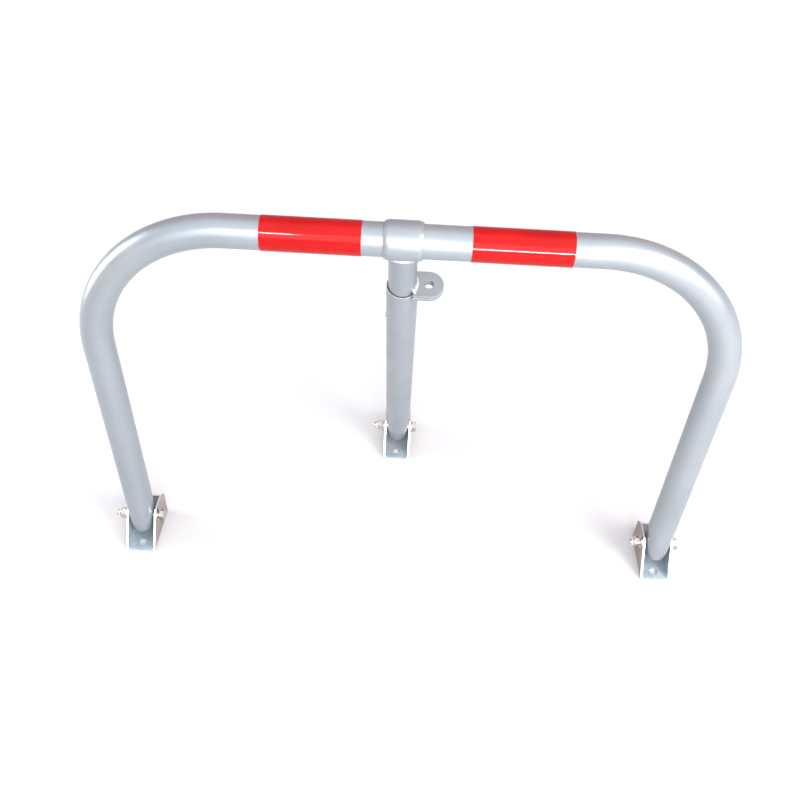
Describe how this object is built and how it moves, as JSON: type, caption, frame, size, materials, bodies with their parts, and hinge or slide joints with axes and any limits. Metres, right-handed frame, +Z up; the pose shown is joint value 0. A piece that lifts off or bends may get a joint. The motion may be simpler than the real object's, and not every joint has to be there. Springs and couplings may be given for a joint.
{
  "type": "folding parking lock",
  "caption": "Folding parking barrier: a bent silver tube hoop on hinged feet, held up by a telescoping strut whose stacked plates take a padlock.",
  "frame": {"origin": "on the ground, under the middle of the whole lock", "axes": "+X along the hoop to the side of the padlock plates, +Y back towards the strut's foot, +Z up; the hoop folds down towards -Y"},
  "size_m": [1.0375, 0.372, 0.693],
  "materials": {
    "silver_paint": "satin silver coating on steel tube",
    "zinc_plate": "blue-grey zinc plating on pressed steel",
    "bright_zinc": "bright zinc on bolts, nuts and washers",
    "red_tape": "glossy red reflective film"
  },
  "bodies": {
    "front_feet": {"left_foot_bracket": "zinc_plate", "left_pivot_bolt": "bright_zinc", "left_pivot_nut": "bright_zinc", "left_head_washer": "bright_zinc", "left_nut_washer": "bright_zinc", "right_foot_bracket": "zinc_plate", "right_pivot_bolt": "bright_zinc", "right_pivot_nut": "bright_zinc", "right_head_washer": "bright_zinc", "right_nut_washer": "bright_zinc"},
    "hoop": {"hoop_tube": "silver_paint", "left_reflective_tape": "red_tape", "right_reflective_tape": "red_tape"},
    "strut_head": {"strut_collar": "silver_paint", "upper_strut_tube": "silver_paint", "upper_lock_plate": "silver_paint"},
    "lower_strut": {"lower_strut_tube": "silver_paint", "lower_lock_plate": "silver_paint", "stop_rivet": "bright_zinc"},
    "rear_foot": {"rear_foot_bracket": "zinc_plate", "rear_pivot_bolt": "bright_zinc", "rear_pivot_nut": "bright_zinc", "rear_head_washer": "bright_zinc", "rear_nut_washer": "bright_zinc"}
  },
  "joints": [
    {"name": "hoop_fold", "type": "hinge", "parent": "front_feet", "child": "hoop", "pos_m": [0, -0.139, 0.05], "axis": [1, 0, 0], "range_deg": [0, 90]},
    {"name": "collar_turn", "type": "hinge", "parent": "hoop", "child": "strut_head", "pos_m": [-0.015, -0.139, 0.665], "axis": [1, 0, 0], "range_deg": [-24, 0]},
    {"name": "strut_slide", "type": "slide", "parent": "strut_head", "child": "lower_strut", "axis": [0, 0.4045, -0.9145], "range_m": [0, 0.215]},
    {"name": "rear_foot_turn", "type": "hinge", "parent": "lower_strut", "child": "rear_foot", "pos_m": [-0.015, 0.133, 0.05], "axis": [1, 0, 0], "range_deg": [-66.3, 0]}
  ],
  "couplings": [
    {"joint": "collar_turn", "follows": "hoop_fold", "ratio": -0.2651},
    {"joint": "strut_slide", "follows": "hoop_fold", "m_per_rad": 0.13658},
    {"joint": "rear_foot_turn", "follows": "hoop_fold", "ratio": -0.7349}
  ]
}
